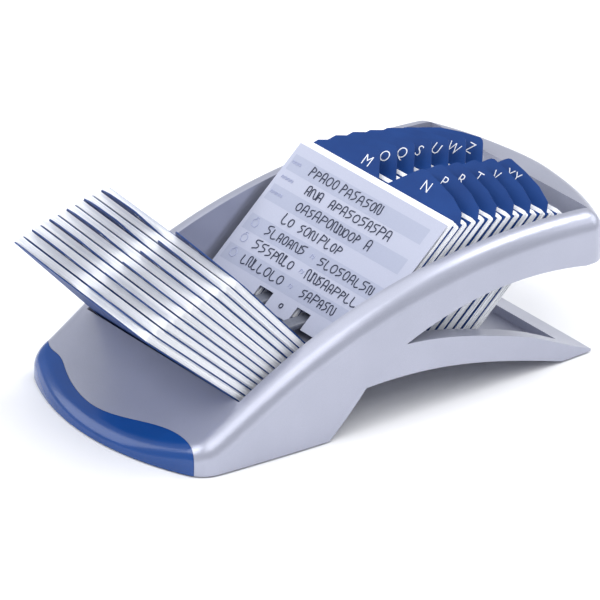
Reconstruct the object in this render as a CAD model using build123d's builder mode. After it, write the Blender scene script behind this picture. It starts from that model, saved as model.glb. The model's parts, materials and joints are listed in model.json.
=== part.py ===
"""Desk card file: a sloping tray on an arched leg, with index dividers and cards that flip on two rails.

Front faces -Y, the card tips at the rear face +Y, +Z is up, X is the width. The desk is Z = 0.
"""
import math
import os

from build123d import *

os.makedirs("parts", exist_ok=True)

# Overall sizes of the two mouldings
MID_HALF_WIDTH = 65.5
NOSE_FRONT_Y = -111.0
REAR_Y = 138.5
WELL_FRONT_Y = -70.5
WELL_REAR_Y = 119.5
WELL_HALF_WIDTH = 55.0
EDGE_ROUND = 9.0
SKIN = 3.0
TIP_Y = 120.0
PAD_HIGH = 0.8
SEAM_GAP = 0.12

# Added to every y when a piece is saved, so that the origin is under the middle of the whole object
CENTRE_SHIFT = -7.2731

# Side profiles, as (y, z)
TOP_LINE = [(-114, 5.2), (-97, 12), (-84, 19), (-70, 27.5), (-34, 46), (10, 60.5), (64, 68.8), (141, 66.2)]
CROSSBAR_LOW = (128.5, 46)
ARM_UNDER = [(112, 46), (94, 48.5), (67, 49), (39.5, 45), (12, 36)]
FOOT_REAR = [(-9.5, 21), (-19, 10.5), (-29, PAD_HIGH)]
LEG_TOP = [(12.1, 35.8), (40, 31.5), (62, 25.5), (85, 17.7), (107, 7.5), (TIP_Y, 1.9)]
LEG_UNDER = [(103, PAD_HIGH), (68, 11.5), (35, 18.6), (13, 20.8), (-9.3, 20.8)]

# The edge of the nose insert, seen from above
NOSE_EDGE = [(-70, -81), (-60, -87.5), (-54, -91), (-46, -92), (-35, -96), (-20, -100.7), (-6, -102.3),
             (8, -100.6), (25, -96.2), (42, -93.6), (52, -94.5), (62, -97.5), (70, -101)]

# Cards and index dividers
CARD_WIDTH = 104.0
CARD_HEIGHT = 72.0
SHOULDER_DROP = 2.0
CARD_THICK = 0.3
DIVIDER_THICK = 0.5
SHEET_GAP = 0.05
SLOT_WIDE = 9.6
SLOT_ABOVE = 5.8
SLOT_BELOW = 2.2

# The two rails run along an arch through the card slots
RAIL_X = 13.4
RAIL_WIDE = 7.6
RAIL_HIGH = 2.2
RAIL_LINE = [(-69.5, 21.5), (-55, 25.5), (-30, 29.8), (-8, 31.0), (12, 30.2), (38, 26.2), (68, 18.6)]
TROUGH_DEEP = 5.4
FLOOR_THICK = 2.6

# Rear stack, leaning back, from the opening to the rear
REAR_NAMES = "mnopqrstuvwxz"
REAR_FIRST_Y = -3.0
REAR_PITCH = 4.86
REAR_LEAN = 43.0
REAR_TURNED = (53.0, 75.0)

# Front fan, leaning forward, from the lowest divider to the opening
FRONT_NAMES = "abcdefghijkl"
FRONT_FIRST_Y = -64.3
FRONT_PITCH = 3.98
FRONT_LEAN = (43.0, 50.0)
FRONT_TURNED = (78.0, 55.0)
CLEARANCE = 0.35
LOOSE_PACK = 1.4
RECORD_CARD_Y = -7.8


def rail_height(y):
    """Height of the rail's centre line at y, through the points of the arch."""
    line = RAIL_LINE
    for (y0, z0), (y1, z1) in zip(line, line[1:]):
        if y <= y1:
            return z0 + (z1 - z0) * (y - y0) / (y1 - y0)
    return line[-1][1]


def save(part, name):
    """Names one piece and writes its STEP file."""
    placed = Pos(0, CENTRE_SHIFT, 0) * part
    placed.label = name
    export_step(placed, f"parts/{name}.step")


def side_face(top, bottom):
    """A closed side outline: a smooth top line, then a list of lower points back to its start."""
    with BuildSketch(Plane.YZ.offset(-80)) as face:
        with BuildLine():
            Spline(*top)
            Polyline(top[-1], *bottom, top[0])
        make_face()
    return face.sketch


def shell_side():
    """The side outline of the upper moulding."""
    with BuildSketch(Plane.YZ.offset(-80)) as face:
        with BuildLine():
            Spline(*TOP_LINE)
            Polyline(TOP_LINE[-1], CROSSBAR_LOW, ARM_UNDER[0])
            Spline(*ARM_UNDER)
            Line(ARM_UNDER[-1], FOOT_REAR[0])
            Spline(*FOOT_REAR)
            Polyline(FOOT_REAR[-1], (TOP_LINE[0][0], PAD_HIGH), TOP_LINE[0])
        make_face()
    return face.sketch


def plan_face(inset=0.0):
    """The outline seen from above: a bowed front, barrel sides and a bowed rear, with rounded corners."""
    w, front, rear = MID_HALF_WIDTH - inset, NOSE_FRONT_Y + inset, REAR_Y - inset
    with BuildSketch(Plane.XY) as face:
        with BuildLine():
            Spline((-w + 2.7, front + 17), (-w, -20), (-w + 0.3, 50), (-w + 0.6, rear - 17.5))
            Spline((w - 2.7, front + 17), (w, -20), (w - 0.3, 50), (w - 0.6, rear - 17.5))
            ThreePointArc((-w + 2.7, front + 17), (0, front), (w - 2.7, front + 17))
            ThreePointArc((-w + 0.6, rear - 17.5), (0, rear), (w - 0.6, rear - 17.5))
        make_face()
        fillet(face.vertices().sort_by(Axis.Y)[:2], radius=14)
        fillet(face.vertices().sort_by(Axis.Y)[-2:], radius=9.4)
    return face.sketch


def leg_face():
    """The leg seen from above, with its straight rear edge."""
    w, front, rear = MID_HALF_WIDTH - 0.3, NOSE_FRONT_Y, TIP_Y + 1
    with BuildSketch(Plane.XY) as face:
        with BuildLine():
            Spline((-w + 2.7, front + 17), (-w, -20), (-w + 0.6, 50), (-w + 4, rear))
            Line((-w + 4, rear), (w - 4, rear))
            Spline((w - 2.7, front + 17), (w, -20), (w - 0.6, 50), (w - 4, rear))
            Line((-w + 2.7, front + 17), (w - 2.7, front + 17))
        make_face()
    return face.sketch


def leaning(y, lean, back):
    """A plane in a card: origin on the rail, x across, y up the card; the card leans back or forward."""
    a = math.radians(lean)
    up = (0, math.cos(a) if back else -math.cos(a), math.sin(a))
    normal = (0, -up[2], up[1])
    return Plane(origin=(0, y, rail_height(y)), x_dir=(1, 0, 0), z_dir=normal)


def slots():
    """The two slots of a card, open at its lower edge."""
    with Locations((-RAIL_X, SLOT_ABOVE - 6), (RAIL_X, SLOT_ABOVE - 6)):
        Rectangle(SLOT_WIDE, 12, mode=Mode.SUBTRACT)


def card_outline(high=CARD_HEIGHT, tab=0):
    """A card's outline with its slots; tab -1 sets an index tab on the left half, 1 on the right."""
    low = -SLOT_BELOW
    top = low + high
    shoulder = top - SHOULDER_DROP if tab else top
    with BuildSketch() as outline:
        with Locations((0, (low + shoulder) / 2)):
            Rectangle(CARD_WIDTH, shoulder - low)
        if tab:
            with BuildLine():
                Polyline((tab * 50.5, shoulder - 1), (tab * 50.5, shoulder), (tab * 47.5, top + 2.4),
                         (tab * 37.5, top + 6.6), (tab * 25, top + 9.5), (tab * 14, top + 11.3),
                         (tab * 12.2, top + 10.9), (tab * 10.6, top + 9.6), (tab * 0.5, shoulder),
                         (tab * 0.5, shoulder - 1), (tab * 50.5, shoulder - 1))
            make_face()
        slots()
    return outline.sketch


def sheet(plane, thick, start, tab=0, high=CARD_HEIGHT):
    """A card, divider or pack: its outline on the plane, from start to start + thick along the normal."""
    with BuildPart() as piece:
        with BuildSketch(plane.offset(start)):
            add(card_outline(high, tab))
        extrude(amount=thick)
    return piece.part


def block(side, inset):
    """The side outline within the plan outline."""
    with BuildPart() as solid:
        extrude(side, amount=160)
        extrude(plan_face(inset), amount=90, dir=(0, 0, 1), mode=Mode.INTERSECT)
    return solid.part


def bar(x0, x1, y0, y1, z0, z1, mode=Mode.ADD):
    """A box between two corners."""
    with Locations(((x0 + x1) / 2, (y0 + y1) / 2, (z0 + z1) / 2)):
        Box(x1 - x0, y1 - y0, z1 - z0, mode=mode)


def cavity():
    """The space inside the arms, crossbar and platform, open below."""
    top = [(y, z - 5) for y, z in TOP_LINE]
    bottom = [(131, 40), (111, 40), (94, 42), (67, 43), (39.5, 40), (12, 34), (-9, 22), (-19, 15),
              (-30.5, -1), (-113, -1)]
    wall = WELL_HALF_WIDTH + 2.2
    with BuildPart() as space:
        add(block(side_face(top, bottom), SKIN))
        bar(-wall, wall, WELL_FRONT_Y - 2.2, WELL_REAR_Y + 2.2, -5, 95, Mode.SUBTRACT)
        for x in (-48, 48):
            bar(x - 2, x + 2, -105, WELL_FRONT_Y, -5, 95, Mode.SUBTRACT)
    return space.part


def nose_region(shift):
    """Everything in front of the insert's edge, moved by shift along Y."""
    with BuildSketch(Plane.XY.offset(-5)) as plan:
        with BuildLine():
            points = [(x, y + shift) for x, y in NOSE_EDGE]
            Spline(*points)
            Polyline(points[-1], (70, -130), (-70, -130), points[0])
        make_face()
    with BuildPart() as region:
        extrude(plan.sketch, amount=80)
    return region.part


def upper_moulding():
    """Platform, arms, crossbar and front foot, with the card well and the hollow underside."""
    with BuildPart() as body:
        add(block(shell_side(), 0))
        crown = body.faces().filter_by(lambda f: f.normal_at().Z > 0.5).sort_by(Axis.Z)[-1]
        fillet(crown.edges(), radius=EDGE_ROUND)
        add(cavity(), mode=Mode.SUBTRACT)
        bar(-WELL_HALF_WIDTH, WELL_HALF_WIDTH, WELL_FRONT_Y, WELL_REAR_Y, -5, 95, Mode.SUBTRACT)
    return body.part


def screw_places():
    """Where the shells are screwed together, from below."""
    return [(x, y) for x in (-40, 40) for y in (-58, -20)]


def floor_lines(drop):
    """Points a set distance under the rails, from the well's front to the leg."""
    ys = [WELL_FRONT_Y + 0.3, -55, -30, -8, 12, 38, 68]
    return [(y, rail_height(y) - drop) for y in ys]


def lower_moulding():
    """The arched leg with its trough, and the floor that runs forward between the arms."""
    floor_top, floor_low = floor_lines(TROUGH_DEEP), floor_lines(TROUGH_DEEP + FLOOR_THICK)
    trough = floor_top + [(88, 8.5), (104, 4.4), (104, 60), (WELL_FRONT_Y + 0.3, 60)]
    strip = floor_top[:6] + floor_low[:6][::-1]
    with BuildPart() as body:
        with BuildSketch(Plane.YZ.offset(-80)):
            with BuildLine():
                Spline(*LEG_TOP)
                Polyline(LEG_TOP[-1], (TIP_Y, PAD_HIGH), LEG_UNDER[0])
                Spline(*LEG_UNDER)
                Polyline(LEG_UNDER[-1], LEG_TOP[0])
            make_face()
        extrude(amount=160)
        extrude(leg_face(), amount=60, dir=(0, 0, 1), mode=Mode.INTERSECT)
        with BuildSketch(Plane.YZ.offset(-WELL_HALF_WIDTH - 1)):
            Polygon(*trough, align=None)
        extrude(amount=2 * WELL_HALF_WIDTH + 2, mode=Mode.SUBTRACT)
        with BuildSketch(Plane.YZ.offset(-WELL_HALF_WIDTH + 0.3)):
            Polygon(*strip, align=None)
        extrude(amount=2 * WELL_HALF_WIDTH - 0.6)
        with Locations(*[(x, y, 20) for x, y in screw_places()]):
            Cylinder(1.6, 60, mode=Mode.SUBTRACT)
    return body.part


def rail(x):
    """One rail: a flat bar along the arch, rounded above."""
    with BuildPart() as piece:
        with BuildSketch(Plane.YZ.offset(x - RAIL_WIDE / 2)):
            with BuildLine():
                high = RAIL_HIGH / 2
                Spline(*[(y, z + high) for y, z in RAIL_LINE])
                Spline(*[(y, z - high) for y, z in RAIL_LINE])
                for y, z in (RAIL_LINE[0], RAIL_LINE[-1]):
                    Line((y, z - high), (y, z + high))
            make_face()
        extrude(amount=RAIL_WIDE)
        fillet(piece.edges().filter_by(lambda e: e.length > 50).sort_by(Axis.Z)[-2:], radius=1.1)
    return piece.part


def under_floor(x, y):
    """Height of the lower moulding's underside at a screw."""
    return rail_height(y) - TROUGH_DEEP - FLOOR_THICK


def fixed_pieces():
    """The pieces of the tray that never move, by name."""
    whole = upper_moulding()
    lower = lower_moulding()
    with BuildPart() as shell:
        add(whole)
        add(nose_region(SEAM_GAP), mode=Mode.SUBTRACT)
        add(lower, mode=Mode.SUBTRACT)
    with BuildPart() as nose:
        add(whole)
        add(nose_region(0), mode=Mode.INTERSECT)
    rails = {"rail_left": rail(-RAIL_X), "rail_right": rail(RAIL_X)}
    with BuildPart() as seats:
        for y in (-66.5, -30, 12, 58):
            top = rail_height(y) - RAIL_HIGH / 2
            for x in (-RAIL_X, RAIL_X):
                bar(x - 3.4, x + 3.4, y - 1.4, y + 1.4, top - 8, top + 0.5)
        add(rails["rail_left"], mode=Mode.SUBTRACT)
        add(rails["rail_right"], mode=Mode.SUBTRACT)
        add(lower, mode=Mode.SUBTRACT)
        keep = [s for s in seats.solids() if s.center().Z > rail_height(s.center().Y) - TROUGH_DEEP]
    with BuildPart() as seat_group:
        for solid in keep:
            add(solid)
    with BuildPart() as pads:
        for x in (-48, 48):
            bar(x - 4, x + 4, 104, TIP_Y - 1.5, 0, PAD_HIGH)
            bar(x - 1.9, x + 1.9, -95, -74, 0, PAD_HIGH)
    with BuildPart() as screws:
        for x, y in screw_places():
            head = under_floor(x, y) - 2.4
            with Locations((x, y, head + 0.8)):
                Cylinder(2.8, 1.6)
            with Locations((x, y, head + 2.7)):
                Cylinder(1.45, 3.4)
    pieces = {"upper_shell": shell.part, "lower_shell": lower, "nose_insert": nose.part}
    return {**pieces, **rails, "rail_seats": seat_group.part, "foot_pads": pads.part, "screws": screws.part}


def between(pair, i, count):
    """The value for the i-th of count divisions, from the first of a pair to the second."""
    return pair[0] + (pair[1] - pair[0]) * i / (count - 1)


def room(y, pitch, lean, back):
    """The gap between two neighbouring cards at the rails when they lean at this angle."""
    rise = rail_height(y + pitch) - rail_height(y)
    a = math.radians(lean)
    return pitch * math.sin(a) + (-rise if back else rise) * math.cos(a)


def pack_thickness(y, pitch, lean, turned, back):
    """As thick as the tighter of the two positions allows."""
    tight = min(room(y, pitch, lean, back), room(y, pitch, turned, not back))
    return round(tight - DIVIDER_THICK - SHEET_GAP - CLEARANCE, 2)


def stack(names, first, pitch, lean, turned, back):
    """Index dividers with the pack of cards behind each, by name."""
    nodes = {}
    for i, letter in enumerate(names):
        y = first + pitch * i
        here = between(lean, i, len(names))
        plane = leaning(y, here, back)
        thick = pack_thickness(y, pitch, here, between(turned, i, len(names)), back)
        nodes[f"divider_{letter}"] = sheet(plane, DIVIDER_THICK, 0, -1 if i % 2 == 0 else 1)
        if back or letter != names[-1]:
            nodes[f"cards_{letter}"] = sheet(plane, thick, -SHEET_GAP - thick)
    return nodes


def card_nodes():
    """Both stacks, the short pack in front of the rear stack, and the record card."""
    nodes = stack(FRONT_NAMES, FRONT_FIRST_Y, FRONT_PITCH, FRONT_LEAN, FRONT_TURNED, False)
    nodes.update(stack(REAR_NAMES, REAR_FIRST_Y, REAR_PITCH, (REAR_LEAN, REAR_LEAN), REAR_TURNED, True))
    first = leaning(REAR_FIRST_Y, REAR_LEAN, True)
    nodes["cards_l"] = sheet(first, LOOSE_PACK, DIVIDER_THICK + SHEET_GAP)
    nodes["record_card"] = sheet(leaning(RECORD_CARD_Y, REAR_LEAN, True), CARD_THICK, 0)
    return nodes


for node_name, node_part in {**fixed_pieces(), **card_nodes()}.items():
    save(node_part, node_name)
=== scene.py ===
import functools
import json
import math
import random

import bmesh
import bpy
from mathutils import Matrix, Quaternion, Vector


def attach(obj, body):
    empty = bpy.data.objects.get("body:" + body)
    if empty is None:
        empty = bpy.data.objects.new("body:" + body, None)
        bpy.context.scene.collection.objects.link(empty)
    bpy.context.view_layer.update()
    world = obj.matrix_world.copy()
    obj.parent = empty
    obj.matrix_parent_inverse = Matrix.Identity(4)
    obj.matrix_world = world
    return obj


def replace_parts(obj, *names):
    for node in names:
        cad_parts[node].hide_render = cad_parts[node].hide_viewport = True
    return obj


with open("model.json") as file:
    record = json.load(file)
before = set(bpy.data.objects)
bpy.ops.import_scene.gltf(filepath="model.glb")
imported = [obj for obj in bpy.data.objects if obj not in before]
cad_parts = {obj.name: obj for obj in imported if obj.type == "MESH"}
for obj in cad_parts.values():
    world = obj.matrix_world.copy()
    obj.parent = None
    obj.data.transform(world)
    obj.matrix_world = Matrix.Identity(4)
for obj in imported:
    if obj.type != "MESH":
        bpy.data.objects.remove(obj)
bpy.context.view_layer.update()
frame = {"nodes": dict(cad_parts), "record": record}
record = frame["record"]
joints = {j["name"]: j for j in record["behaviour"]["joints"]}

# Cards, in metres, measured up the card from its hinge
CARD_HALF = 0.052
CARD_TOP = 0.0698
CARD_LOW = -0.0022
CORNER = 0.0012
SLOT_X, SLOT_HALF, SLOT_TOP = 0.0134, 0.0048, 0.0058
CARD_PITCH = 0.00030
DIVIDER_FACE = 0.00055

# Packs fill this much of the clearance to the next divider; the fan's cards spread and twist by these degrees
FILL = 0.0002
FAN_SPLAY = -0.55
FAN_TWIST = 3.0
BANDS = 12

FRONT = "abcdefghijkl"
REAR = "mnopqrstuvwxz"
LETTERS = {"x": "XY"}
LETTER_SIZE, LETTER_X, LETTER_SHIFT, LETTER_UP = 0.0076, 0.0178, 0.003, 0.0024


# ---------------------------------------------------------------- materials

def new_material(name):
    """A node material with its principled shader."""
    m = bpy.data.materials.new(name)
    m.use_nodes = True
    nodes, links = m.node_tree.nodes, m.node_tree.links
    return m, nodes, links, nodes["Principled BSDF"]


def noise(nodes, links, scale, detail=3.0, rough=0.5):
    """A noise texture in the object's own space."""
    tc = nodes.new("ShaderNodeTexCoord")
    n = nodes.new("ShaderNodeTexNoise")
    n.inputs["Scale"].default_value = scale
    n.inputs["Detail"].default_value = detail
    n.inputs["Roughness"].default_value = rough
    links.new(tc.outputs["Object"], n.inputs["Vector"])
    return n


def ramp(nodes, links, source, low, high, a, b):
    """A colour from a to b as the source goes from low to high."""
    r = nodes.new("ShaderNodeValToRGB")
    r.color_ramp.elements[0].position, r.color_ramp.elements[1].position = low, high
    r.color_ramp.elements[0].color, r.color_ramp.elements[1].color = (*a, 1), (*b, 1)
    links.new(source, r.inputs["Fac"])
    return r


def spread(nodes, links, source, low, high):
    """Maps 0..1 to low..high."""
    r = nodes.new("ShaderNodeMapRange")
    r.inputs["To Min"].default_value, r.inputs["To Max"].default_value = low, high
    links.new(source, r.inputs["Value"])
    return r.outputs["Result"]


def bump(nodes, links, source, bsdf, strength, distance):
    """Relief from a height."""
    b = nodes.new("ShaderNodeBump")
    b.inputs["Strength"].default_value = strength
    b.inputs["Distance"].default_value = distance
    links.new(source, b.inputs["Height"])
    links.new(b.outputs["Normal"], bsdf.inputs["Normal"])


def silver():
    """Silver paint on plastic: fine metallic flakes under a satin coat."""
    m, nodes, links, bsdf = new_material("silver_paint")
    flake = noise(nodes, links, 5200, 2, 0.6)
    cloud = noise(nodes, links, 26, 3, 0.5)
    colour = ramp(nodes, links, cloud.outputs["Fac"], 0.3, 0.7, (0.40, 0.415, 0.50), (0.435, 0.45, 0.54))
    glint = ramp(nodes, links, flake.outputs["Fac"], 0.35, 0.72, (0.90, 0.90, 0.91), (1.06, 1.06, 1.06))
    mix = nodes.new("ShaderNodeMixRGB")
    mix.blend_type = "MULTIPLY"
    mix.inputs["Fac"].default_value = 1.0
    links.new(colour.outputs["Color"], mix.inputs["Color1"])
    links.new(glint.outputs["Color"], mix.inputs["Color2"])
    links.new(mix.outputs["Color"], bsdf.inputs["Base Color"])
    links.new(spread(nodes, links, flake.outputs["Fac"], 0.26, 0.36), bsdf.inputs["Roughness"])
    bsdf.inputs["Metallic"].default_value = 0.5
    bsdf.inputs["Coat Weight"].default_value = 0.15
    bsdf.inputs["Coat Roughness"].default_value = 0.25
    bump(nodes, links, flake.outputs["Fac"], bsdf, 0.06, 0.0002)
    return m


def gloss_blue():
    """Polished blue plastic with a faint moulding ripple."""
    m, nodes, links, bsdf = new_material("gloss_blue")
    cloud = noise(nodes, links, 40, 2, 0.5)
    c = ramp(nodes, links, cloud.outputs["Fac"], 0.3, 0.7, (0.003, 0.047, 0.21), (0.005, 0.057, 0.25))
    links.new(c.outputs["Color"], bsdf.inputs["Base Color"])
    fine = noise(nodes, links, 900, 3, 0.5)
    links.new(spread(nodes, links, fine.outputs["Fac"], 0.16, 0.24), bsdf.inputs["Roughness"])
    bsdf.inputs["Coat Weight"].default_value = 0.2
    bsdf.inputs["Coat Roughness"].default_value = 0.08
    bump(nodes, links, cloud.outputs["Fac"], bsdf, 0.04, 0.001)
    return m


def index_blue():
    """Blue divider sheet: satin film with a fine embossed grain."""
    m, nodes, links, bsdf = new_material("index_blue")
    cloud = noise(nodes, links, 60, 3, 0.5)
    c = ramp(nodes, links, cloud.outputs["Fac"], 0.3, 0.7, (0.003, 0.034, 0.165), (0.005, 0.043, 0.195))
    links.new(c.outputs["Color"], bsdf.inputs["Base Color"])
    grain = noise(nodes, links, 2600, 2, 0.6)
    links.new(spread(nodes, links, grain.outputs["Fac"], 0.45, 0.6), bsdf.inputs["Roughness"])
    bsdf.inputs["Specular IOR Level"].default_value = 0.25
    bump(nodes, links, grain.outputs["Fac"], bsdf, 0.12, 0.0001)
    return m


def paper(name, tone, tint):
    """Uncoated card: fibres and a slight mottling."""
    m, nodes, links, bsdf = new_material(name)
    fibre = noise(nodes, links, 1800, 6, 0.7)
    c = ramp(nodes, links, fibre.outputs["Fac"], 0.3, 0.7, tone, tint)
    links.new(c.outputs["Color"], bsdf.inputs["Base Color"])
    links.new(spread(nodes, links, fibre.outputs["Fac"], 0.7, 0.9), bsdf.inputs["Roughness"])
    bsdf.inputs["Specular IOR Level"].default_value = 0.25
    bump(nodes, links, fibre.outputs["Fac"], bsdf, 0.10, 0.00008)
    return m


def plain(name, a, b, rough, metallic=0.0, scale=900):
    """A mottled material with a slight relief."""
    m, nodes, links, bsdf = new_material(name)
    n = noise(nodes, links, scale, 4, 0.6)
    c = ramp(nodes, links, n.outputs["Fac"], 0.3, 0.7, a, b)
    links.new(c.outputs["Color"], bsdf.inputs["Base Color"])
    links.new(spread(nodes, links, n.outputs["Fac"], rough, rough + 0.12), bsdf.inputs["Roughness"])
    bsdf.inputs["Metallic"].default_value = metallic
    bump(nodes, links, n.outputs["Fac"], bsdf, 0.08, 0.0001)
    return m


SILVER = silver()
NOSE = gloss_blue()
INDEX = index_blue()
WHITE = paper("card_white", (0.90, 0.91, 0.94), (0.95, 0.96, 0.98))
CREAM = paper("card_pale", (0.82, 0.84, 0.89), (0.88, 0.90, 0.94))
# Painted shade: the record card is white card like the packs, but its colour is set to about half their white
# to hold back the strong front light on its face. The stripes are its light-blue print, darkened by the same
# painted shade.
RECORD = paper("record_shaded_white", (0.44, 0.46, 0.56), (0.48, 0.50, 0.60))
STRIPE = paper("record_stripe", (0.375, 0.40, 0.505), (0.41, 0.435, 0.54))
RAIL = plain("rail_grey", (0.10, 0.11, 0.14), (0.14, 0.15, 0.19), 0.35)
RUBBER = plain("pad_rubber", (0.02, 0.02, 0.022), (0.04, 0.04, 0.042), 0.75)
STEEL = plain("screw_steel", (0.42, 0.42, 0.44), (0.55, 0.55, 0.57), 0.3, 1.0)
INK = plain("pen_ink", (0.015, 0.02, 0.045), (0.03, 0.04, 0.08), 0.55, 0.0, 3000)
LABEL = plain("print_grey", (0.34, 0.37, 0.52), (0.42, 0.45, 0.60), 0.6, 0.0, 3000)
LETTER = plain("letter_white", (0.78, 0.80, 0.86), (0.86, 0.88, 0.93), 0.5, 0.0, 2000)


def paint(node, material):
    """Gives a CAD node its material."""
    o = frame["nodes"][node]
    o.data.materials.clear()
    o.data.materials.append(material)


for name in ("upper_shell", "lower_shell"):
    paint(name, SILVER)
paint("nose_insert", NOSE)
for name in ("rail_left", "rail_right", "rail_seats"):
    paint(name, RAIL)
paint("foot_pads", RUBBER)
paint("screws", STEEL)


# ---------------------------------------------------------------- cards

@functools.lru_cache
def axes_of(letter):
    """(pivot, up, normal) of a divider or the record card at rest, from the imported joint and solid."""
    pivot = Vector(joints["flip_" + letter]["pos_m"])
    o = frame["nodes"]["record_card" if letter == "record_card" else "divider_" + letter]
    flat = max(o.data.polygons, key=lambda f: f.area)
    normal = (o.matrix_world.to_3x3() @ flat.normal).normalized()
    up = Vector((0, -normal.z, normal.y))
    if up.z < 0:
        up = -up
    return pivot, up, Vector((0, -up.z, up.y))


def depth_range(node, pivot, normal):
    """Where a solid starts and ends along a normal, measured from the pivot."""
    o = frame["nodes"][node]
    along = [(o.matrix_world @ v.co - pivot).dot(normal) for v in o.data.vertices]
    return min(along), max(along)


def outline(half, low, high):
    """A card outline from its lower left, anticlockwise: two slots open below, small round corners above."""
    pts = [(-half, low)]
    for x in (-SLOT_X, SLOT_X):
        left, right = x - SLOT_HALF, x + SLOT_HALF
        pts += [(left, low), (left, SLOT_TOP), (right, SLOT_TOP), (right, low)]
    pts += [(half, low)]
    for cx, start in ((half - CORNER, 0), (-half + CORNER, 90)):
        for step in range(5):
            a = math.radians(start + step * 22.5)
            pts.append((cx + CORNER * math.cos(a), high - CORNER + CORNER * math.sin(a)))
    return pts


def twisted(letter, p):
    """A point of the front fan after the fan's slight twist: the far end leans less than the near end."""
    if letter not in FRONT:
        return p
    pivot, _, _ = axes_of(letter)
    turn = Quaternion((1, 0, 0), math.radians(FAN_TWIST * p.x / CARD_HALF))
    return pivot + turn @ (p - pivot)


def banded(bm, letter):
    """Cuts a front card across into narrow bands and gives it the fan's twist."""
    if letter not in FRONT:
        return
    for k in range(1 - BANDS // 2, BANDS // 2):
        everything = bm.verts[:] + bm.edges[:] + bm.faces[:]
        place = (2 * k * CARD_HALF / BANDS, 0, 0)
        bmesh.ops.bisect_plane(bm, geom=everything, dist=1e-7, plane_co=place, plane_no=(1, 0, 0))
    for v in bm.verts:
        v.co = twisted(letter, v.co.copy())


def riding(name, data, material, body):
    """A linked object of a mesh or curve, with its material, slot and body."""
    o = bpy.data.objects.new(name, data)
    bpy.context.scene.collection.objects.link(o)
    data.materials.append(material)
    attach(o, body)
    return o


def finished(bm, name):
    """A mesh from a bmesh, which is freed."""
    mesh = bpy.data.meshes.new(name)
    bm.to_mesh(mesh)
    bm.free()
    return mesh


def card_mesh(cards, letter):
    """One bmesh of several thin cards. Each is (pivot, up, normal, offset, thickness, points)."""
    bm = bmesh.new()
    for pivot, up, normal, offset, thick, points in cards:
        rings = []
        for out in (offset, offset + thick):
            rings.append([bm.verts.new(pivot + Vector((x, 0, 0)) + up * y + normal * out) for x, y in points])
        bm.faces.new(rings[1])
        bm.faces.new(rings[0][::-1])
        n = len(points)
        for i in range(n):
            j = (i + 1) % n
            bm.faces.new((rings[0][i], rings[0][j], rings[1][j], rings[1][i]))
    bmesh.ops.recalc_face_normals(bm, faces=bm.faces)
    banded(bm, letter)
    return bm


def body_holding(node):
    """The body that a node belongs to."""
    for body, nodes in record["behaviour"]["bodies"].items():
        if node in nodes:
            return body
    return "tray"


def tilted(up, degrees):
    """(up, normal) after a small turn about the rail, away from the divider's face."""
    turn = Quaternion((1, 0, 0), math.radians(degrees))
    up = turn @ up
    return up, Vector((0, -up.z, up.y))


def pack(node, letter, splay=0.0, fill=FILL):
    """The loose cards of one pack, each a little out of line with its neighbours, instead of the block."""
    rng = random.Random(ord(letter) + len(node))
    pivot, up, normal = axes_of(letter)
    low, high = depth_range(node, pivot, normal)
    low -= fill
    groups = {"white": [], "pale": []}
    count = max(4, round((high - low) / CARD_PITCH))
    pitch = (high - low) / count
    for i in range(count):
        thick = pitch * rng.uniform(0.92, 0.99)
        shrink = rng.uniform(0.0001, 0.0008)
        drop = rng.uniform(0.0, 0.00035)
        points = outline(CARD_HALF - shrink, CARD_LOW + 0.0002, CARD_TOP - drop)
        offset = high - pitch * (i + 1) + (pitch - thick) * rng.uniform(0.2, 0.8)
        key = "pale" if rng.random() < 0.25 else "white"
        card_up, card_normal = tilted(up, splay * (i + 1) / count)
        groups[key].append((pivot, card_up, card_normal, offset, thick, points))
    made = []
    for key, tone in (("white", WHITE), ("pale", CREAM)):
        if groups[key]:
            name = f"{node}_{key}"
            mesh = finished(card_mesh(groups[key], letter), name)
            made.append(riding(name, mesh, tone, body_holding(node)))
    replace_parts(made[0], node)


def bent_divider(letter):
    """A front divider's solid with the fan's twist."""
    solid = frame["nodes"][f"divider_{letter}"]
    bm = bmesh.new()
    bm.from_mesh(solid.data)
    bm.transform(solid.matrix_world)
    banded(bm, letter)
    name, node = f"bent_{letter}", f"divider_{letter}"
    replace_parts(riding(name, finished(bm, name), INDEX, body_holding(node)), node)


def print_letter(letter, side):
    """The index letter on a divider's tab, left (-1) or right (1), as a thin raised print on both faces."""
    pivot, up, normal = axes_of(letter)
    for face in (1, -1):
        curve = bpy.data.curves.new(f"letter_curve_{letter}", "FONT")
        curve.body = LETTERS.get(letter, letter.upper())
        curve.size = LETTER_SIZE
        curve.align_x = "CENTER"
        curve.extrude = 0.00003
        curve.offset = -0.00010
        holder = bpy.data.objects.new("holder", curve)
        bpy.context.scene.collection.objects.link(holder)
        bpy.context.view_layer.update()
        mesh = bpy.data.meshes.new_from_object(holder)
        bpy.data.objects.remove(holder)
        name = f"letter_{letter}" + ("" if face == 1 else "_back")
        mesh.name = name
        centre_x, low = side * LETTER_X + LETTER_SHIFT, CARD_TOP + LETTER_UP
        at = DIVIDER_FACE if face == 1 else -0.00004
        for v in mesh.vertices:
            x, y, z = v.co
            flat = pivot + Vector((centre_x + x * face, 0, 0)) + up * (low + y) + normal * (at + z)
            v.co = twisted(letter, flat)
        mesh.materials.clear()
        riding(name, mesh, LETTER, body_holding(f"divider_{letter}"))


for i, letter in enumerate(FRONT):
    bent_divider(letter)
    print_letter(letter, 1 if i % 2 else -1)
    if letter != FRONT[-1]:
        pack(f"cards_{letter}", letter, FAN_SPLAY)
# the last front pack was turned back, so it stands against the first rear divider
pack(f"cards_{FRONT[-1]}", REAR[0], fill=0.0)
for i, letter in enumerate(REAR):
    paint(f"divider_{letter}", INDEX)
    print_letter(letter, 1 if i % 2 else -1)
    pack(f"cards_{letter}", letter)


# ---------------------------------------------------------------- record card

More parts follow.
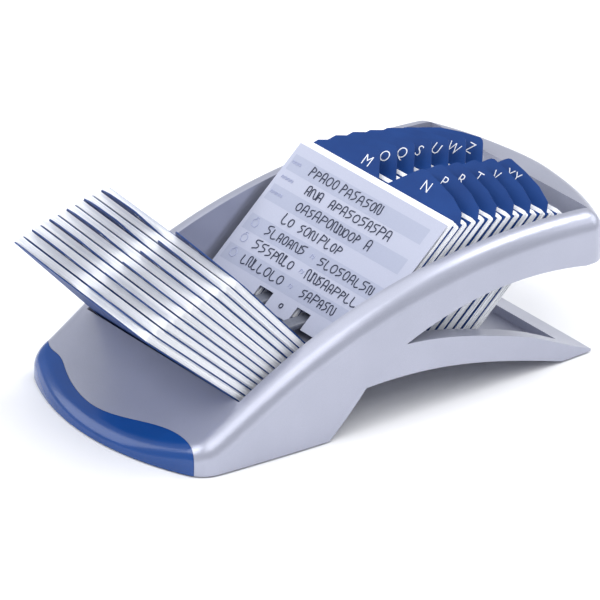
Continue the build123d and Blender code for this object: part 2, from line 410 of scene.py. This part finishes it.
def strip(name, x0, x1, y0, y1, at, material):
    """A printed patch on the record card's face."""
    pivot, up, normal = axes_of("record_card")
    bm = bmesh.new()
    corners = [(x0, y0), (x1, y0), (x1, y1), (x0, y1)]
    bm.faces.new([bm.verts.new(pivot + Vector((x, 0, 0)) + up * y + normal * at) for x, y in corners])
    riding(name, finished(bm, name), material, "record_card")


def pen_line(name, strokes, at, width, material):
    """Pen strokes on the record card's face, as thin raised tubes."""
    pivot, up, normal = axes_of("record_card")
    curve = bpy.data.curves.new(name, "CURVE")
    curve.dimensions = "3D"
    curve.bevel_depth = width
    curve.bevel_resolution = 1
    for stroke in strokes:
        s = curve.splines.new("BEZIER")
        s.bezier_points.add(len(stroke) - 1)
        for b, (x, y) in zip(s.bezier_points, stroke):
            b.co = pivot + Vector((x, 0, 0)) + up * y + normal * at
            b.handle_left_type = b.handle_right_type = "AUTO"
    riding(name, curve, material, "record_card")


def scribble(rng, x, y, length, high):
    """A made-up run of pen strokes that looks like capitals and digits but spells nothing."""
    strokes, end = [], x + length
    while x < end - 0.001:
        w = rng.uniform(0.0022, 0.0036)
        kind = rng.randrange(6)
        h = high * rng.uniform(0.85, 1.1)
        s = 0.0004
        if kind == 0:
            strokes.append([(x, y), (x + s, y + h)])
            strokes.append([(x + s, y + h), (x + w, y + h * 0.7), (x + s * 0.6, y + h * 0.45)])
        elif kind == 1:
            strokes.append([(x + w * 0.5 + w * 0.5 * math.cos(a), y + h * 0.5 + h * 0.45 * math.sin(a))
                            for a in [k * 0.9 for k in range(8)]])
        elif kind == 2:
            strokes.append([(x, y), (x + w * 0.45, y + h), (x + w, y)])
            strokes.append([(x + w * 0.2, y + h * 0.4), (x + w * 0.85, y + h * 0.42)])
        elif kind == 3:
            strokes.append([(x, y + h), (x + w * 0.2, y), (x + w, y + h * 0.1)])
        elif kind == 4:
            strokes.append([(x, y), (x + s, y + h), (x + w, y + 0.0002), (x + w + s, y + h)])
        else:
            strokes.append([(x + w, y + h), (x, y + h * 0.75), (x + w * 0.8, y + h * 0.4), (x, y)])
        x += w + 0.0012
    return strokes


CARD_FACE = 0.0003
TOP_MARGIN, ROW = 0.0053, 0.0081
LEFT = -CARD_HALF


def row_base(i):
    """Writing line of row i, up the card from the pivot."""
    return CARD_TOP - TOP_MARGIN - (i + 1) * ROW + 0.0022


for i in range(4):
    top = CARD_TOP - TOP_MARGIN - 2 * i * ROW
    strip(f"field_{i}", LEFT + 0.0022, -LEFT - 0.0065, top - ROW, top, CARD_FACE + 0.00003, STRIPE)
rng = random.Random(4)
# each row's runs of writing, as (start, length) from the card's left edge
rows = [[(0.0165, 0.018), (0.0385, 0.029)],
        [(0.0215, 0.013), (0.0385, 0.043)],
        [(0.0225, 0.044), (0.0715, 0.004)],
        [(0.0205, 0.008), (0.0325, 0.010), (0.0465, 0.015)],
        [(0.0165, 0.027), (0.0545, 0.036)],
        [(0.0155, 0.028), (0.0530, 0.035)],
        [(0.0150, 0.029), (0.0575, 0.022)]]
ink = []
for i, runs in enumerate(rows):
    for start, length in runs:
        ink += scribble(rng, LEFT + start, row_base(i), length, 0.0047)
pen_line("pen_strokes", ink, CARD_FACE + 0.00016, 0.00027, INK)
marks = []
for i, count in enumerate((3, 4, 4)):
    for k in range(count):
        x, y = LEFT + 0.0032 + 0.0021 * k, row_base(i) + 0.0016
        marks.append([(x, y), (x + 0.0006, y + 0.0013), (x + 0.0012, y), (x + 0.0017, y + 0.0011)])
for i in (4, 5, 6):
    x, y = LEFT + 0.0062, row_base(i) + 0.0008
    marks.append([(x, y), (x + 0.0030, y), (x + 0.0030, y + 0.0028), (x, y + 0.0028), (x, y)])
    marks.append([(x + 0.0006, y + 0.0028), (x + 0.0010, y + 0.0042), (x + 0.0024, y + 0.0042)])
    x = LEFT + 0.0482
    marks.append([(x, y + 0.0006), (x + 0.0008, y + 0.0024),
                  (x + 0.0018, y + 0.0006), (x + 0.0024, y + 0.0020)])
pen_line("field_marks", marks, CARD_FACE + 0.0001, 0.00018, LABEL)
dot = [[(0.0010 * math.cos(a * 0.7), 0.0026 + 0.0010 * math.sin(a * 0.7)) for a in range(10)]]
pen_line("centre_dot", dot, CARD_FACE + 0.0001, 0.0003, INK)
paint("record_card", RECORD)


# ---------------------------------------------------------------- stage

def floor():
    """A wide pale floor under the object."""
    bm = bmesh.new()
    bmesh.ops.create_grid(bm, x_segments=1, y_segments=1, size=6)
    mesh = finished(bm, "floor")
    o = bpy.data.objects.new("floor", mesh)
    bpy.context.scene.collection.objects.link(o)
    m, nodes, links, bsdf = new_material("floor_paper")
    n = noise(nodes, links, 6, 2, 0.5)
    c = ramp(nodes, links, n.outputs["Fac"], 0.3, 0.7, (0.90, 0.90, 0.91), (0.93, 0.93, 0.935))
    links.new(c.outputs["Color"], bsdf.inputs["Base Color"])
    bsdf.inputs["Roughness"].default_value = 0.9
    mesh.materials.append(m)


def area(name, at, target, size, power, colour=(1, 1, 1)):
    """A rectangular light at a place, aimed at a target."""
    light = bpy.data.lights.new(name, "AREA")
    light.shape = "RECTANGLE"
    light.size, light.size_y = size
    light.energy = power
    light.color = colour
    o = bpy.data.objects.new(name, light)
    o.location = at
    o.rotation_euler = (Vector(target) - Vector(at)).to_track_quat("-Z", "Y").to_euler()
    bpy.context.scene.collection.objects.link(o)


floor()
MIDDLE = (0, 0, 0.035)
area("key", (0.75, -0.25, 1.1), MIDDLE, (0.9, 0.9), 6)
area("front", (0.0, -1.2, 1.15), MIDDLE, (1.0, 0.8), 9, (0.96, 0.97, 1))
area("top", (-0.2, 0.2, 1.4), MIDDLE, (1.6, 1.6), 8)
area("edge", (0.05, 0.85, 1.2), MIDDLE, (0.5, 0.4), 5)
area("fill", (-0.9, -0.9, 0.6), MIDDLE, (0.9, 0.7), 4.5, (0.93, 0.95, 1))
area("rear", (0.3, 1.2, 0.7), MIDDLE, (1.0, 0.6), 4, (0.95, 0.97, 1))

world = bpy.data.worlds.new("studio")
bpy.context.scene.world = world
world.use_nodes = True
world.node_tree.nodes["Background"].inputs["Color"].default_value = (0.93, 0.95, 1, 1)
world.node_tree.nodes["Background"].inputs["Strength"].default_value = 0.55

# the camera's place around the object, its roll, its distance and the width it takes in there
AZ, EL, ROLL = math.radians(51.84), math.radians(25.83), math.radians(-1.6)
DISTANCE, SENSOR = 3.0, 36
FRAME_WIDTH = 0.261666
cam_data = bpy.data.cameras.new("camera")
camera = bpy.data.objects.new("camera", cam_data)
bpy.context.scene.collection.objects.link(camera)
away = Vector((math.sin(AZ) * math.cos(EL), -math.cos(AZ) * math.cos(EL), math.sin(EL)))
LOOK = Vector((0, -0.003, 0.033))
camera.location = LOOK + away * DISTANCE
turn = (-away).to_track_quat("-Z", "Y")
camera.rotation_euler = (turn @ Quaternion((0, 0, 1), -ROLL)).to_euler()
cam_data.sensor_width = SENSOR
cam_data.lens = SENSOR * DISTANCE / FRAME_WIDTH
cam_data.clip_start, cam_data.clip_end = 0.1, 20
bpy.context.scene.camera = camera

bpy.context.scene.view_settings.view_transform = "Standard"
